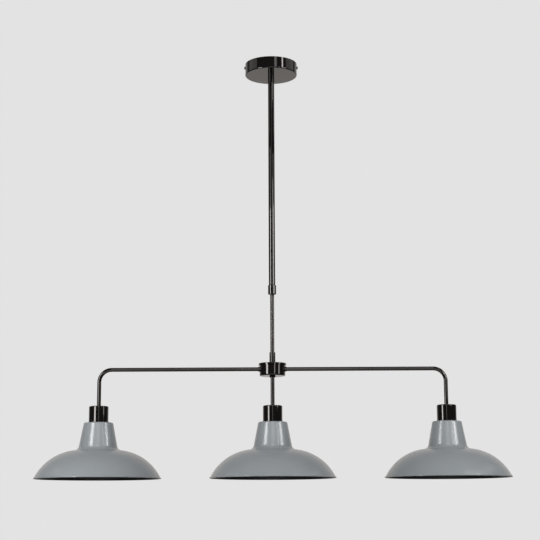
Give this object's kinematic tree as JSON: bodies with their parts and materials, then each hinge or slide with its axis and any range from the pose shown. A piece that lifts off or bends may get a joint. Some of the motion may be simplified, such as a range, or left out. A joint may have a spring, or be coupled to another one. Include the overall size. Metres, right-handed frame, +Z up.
{
  "type": "linear island pendant",
  "caption": "Linear pendant light: round ceiling canopy, telescopic pole with twist lock, hub with cranked arms, bell-shaped metal shades on bayonet lampholders.",
  "frame": {"origin": "centre of the canopy's face against the ceiling", "axes": "+Z up into the ceiling, +X along the bar of lamps, +Y horizontal across the bar"},
  "size_m": [0.94, 0.25, 0.8513],
  "materials": {
    "gloss_black": "gloss black lacquer on steel",
    "black_screw": "black screw",
    "grey_paint": "satin grey paint outside, near-black inside, on spun aluminium",
    "black_phenolic": "moulded black phenolic",
    "brass": "plain brass",
    "zinc_steel": "zinc-plated steel",
    "spring_steel": "spring steel",
    "white_nylon": "moulded white polyamide",
    "clear_nylon": "natural polyamide"
  },
  "bodies": {
    "root": {"ceiling_bracket": "zinc_steel", "canopy": "gloss_black", "canopy_side_screws": "black_screw", "earth_screw": "brass", "terminal_block": "white_nylon", "terminal_screws": "brass", "pole_nipple": "zinc_steel", "nipple_washer": "zinc_steel", "nipple_nut": "zinc_steel", "upper_tube": "gloss_black", "tube_ferrule": "gloss_black"},
    "lock_sleeve": {"lock_sleeve": "clear_nylon"},
    "lock_nut": {"lock_nut": "gloss_black"},
    "rod_guide": {"rod_guide": "clear_nylon"},
    "bar": {"inner_rod": "gloss_black", "rod_coupler": "gloss_black", "hub_nipple": "zinc_steel", "hub_nut": "zinc_steel", "hub_lid": "gloss_black", "hub_body": "gloss_black", "hub_connector": "white_nylon", "hub_connector_screws": "brass", "hub_tube_nuts": "zinc_steel", "arm_collars": "gloss_black", "drop_collar": "gloss_black", "left_arm": "gloss_black", "right_arm": "gloss_black", "centre_drop": "gloss_black", "cup_nuts": "zinc_steel", "left_cup": "gloss_black", "left_holder_cap": "black_phenolic", "left_holder_body": "black_phenolic", "left_bayonet_liner": "brass", "left_contact_block": "black_phenolic", "left_terminal_plates": "brass", "centre_cup": "gloss_black", "centre_holder_cap": "black_phenolic", "centre_holder_body": "black_phenolic", "centre_bayonet_liner": "brass", "centre_contact_block": "black_phenolic", "centre_terminal_plates": "brass", "right_cup": "gloss_black", "right_holder_cap": "black_phenolic", "right_holder_body": "black_phenolic", "right_bayonet_liner": "brass", "right_contact_block": "black_phenolic", "right_terminal_plates": "brass"},
    "left_shade": {"left_shade": "grey_paint"},
    "left_shade_ring": {"left_shade_ring": "black_phenolic"},
    "left_contacts": {"left_contact_plungers": "brass", "left_contact_springs": "spring_steel"},
    "centre_shade": {"centre_shade": "grey_paint"},
    "centre_shade_ring": {"centre_shade_ring": "black_phenolic"},
    "centre_contacts": {"centre_contact_plungers": "brass", "centre_contact_springs": "spring_steel"},
    "right_shade": {"right_shade": "grey_paint"},
    "right_shade_ring": {"right_shade_ring": "black_phenolic"},
    "right_contacts": {"right_contact_plungers": "brass", "right_contact_springs": "spring_steel"}
  },
  "joints": [
    {"name": "lock_sleeve_slide", "type": "slide", "parent": "root", "child": "lock_sleeve", "axis": [0, 0, -1], "range_m": [0, 0.0015]},
    {"name": "lock_nut_turn", "type": "hinge", "parent": "lock_sleeve", "child": "lock_nut", "pos_m": [0, 0, -0.4758], "axis": [0, 0, -1], "range_deg": [0, 540]},
    {"name": "pole_slide", "type": "slide", "parent": "root", "child": "rod_guide", "axis": [0, 0, 1], "range_m": [-0.235, 0.1132]},
    {"name": "bar_swivel", "type": "hinge", "parent": "rod_guide", "child": "bar", "pos_m": [0, 0, -0.6249], "axis": [0, 0, 1], "range_deg": [-180, 180]},
    {"name": "left_shade_slide", "type": "slide", "parent": "bar", "child": "left_shade", "axis": [0, 0, -1], "range_m": [0, 0.0075]},
    {"name": "left_ring_turn", "type": "hinge", "parent": "left_shade", "child": "left_shade_ring", "pos_m": [-0.345, 0, -0.7463], "axis": [0, 0, -1], "range_deg": [0, 1080]},
    {"name": "left_contact_push", "type": "slide", "parent": "bar", "child": "left_contacts", "axis": [0, 0, 1], "range_m": [0, 0.004], "stiffness_N_per_m": 600, "springref_m": -0.002, "deforming": ["left_contact_springs"]},
    {"name": "centre_shade_slide", "type": "slide", "parent": "bar", "child": "centre_shade", "axis": [0, 0, -1], "range_m": [0, 0.0075]},
    {"name": "centre_ring_turn", "type": "hinge", "parent": "centre_shade", "child": "centre_shade_ring", "pos_m": [0, 0, -0.7463], "axis": [0, 0, -1], "range_deg": [0, 1080]},
    {"name": "centre_contact_push", "type": "slide", "parent": "bar", "child": "centre_contacts", "axis": [0, 0, 1], "range_m": [0, 0.004], "stiffness_N_per_m": 600, "springref_m": -0.002, "deforming": ["centre_contact_springs"]},
    {"name": "right_shade_slide", "type": "slide", "parent": "bar", "child": "right_shade", "axis": [0, 0, -1], "range_m": [0, 0.0075]},
    {"name": "right_ring_turn", "type": "hinge", "parent": "right_shade", "child": "right_shade_ring", "pos_m": [0.345, 0, -0.7463], "axis": [0, 0, -1], "range_deg": [0, 1080]},
    {"name": "right_contact_push", "type": "slide", "parent": "bar", "child": "right_contacts", "axis": [0, 0, 1], "range_m": [0, 0.004], "stiffness_N_per_m": 600, "springref_m": -0.002, "deforming": ["right_contact_springs"]}
  ],
  "couplings": [
    {"joint": "lock_nut_turn", "follows": "lock_sleeve_slide", "rad_per_m": 6283.2},
    {"joint": "left_ring_turn", "follows": "left_shade_slide", "rad_per_m": 2513.3},
    {"joint": "centre_ring_turn", "follows": "centre_shade_slide", "rad_per_m": 2513.3},
    {"joint": "right_ring_turn", "follows": "right_shade_slide", "rad_per_m": 2513.3}
  ]
}
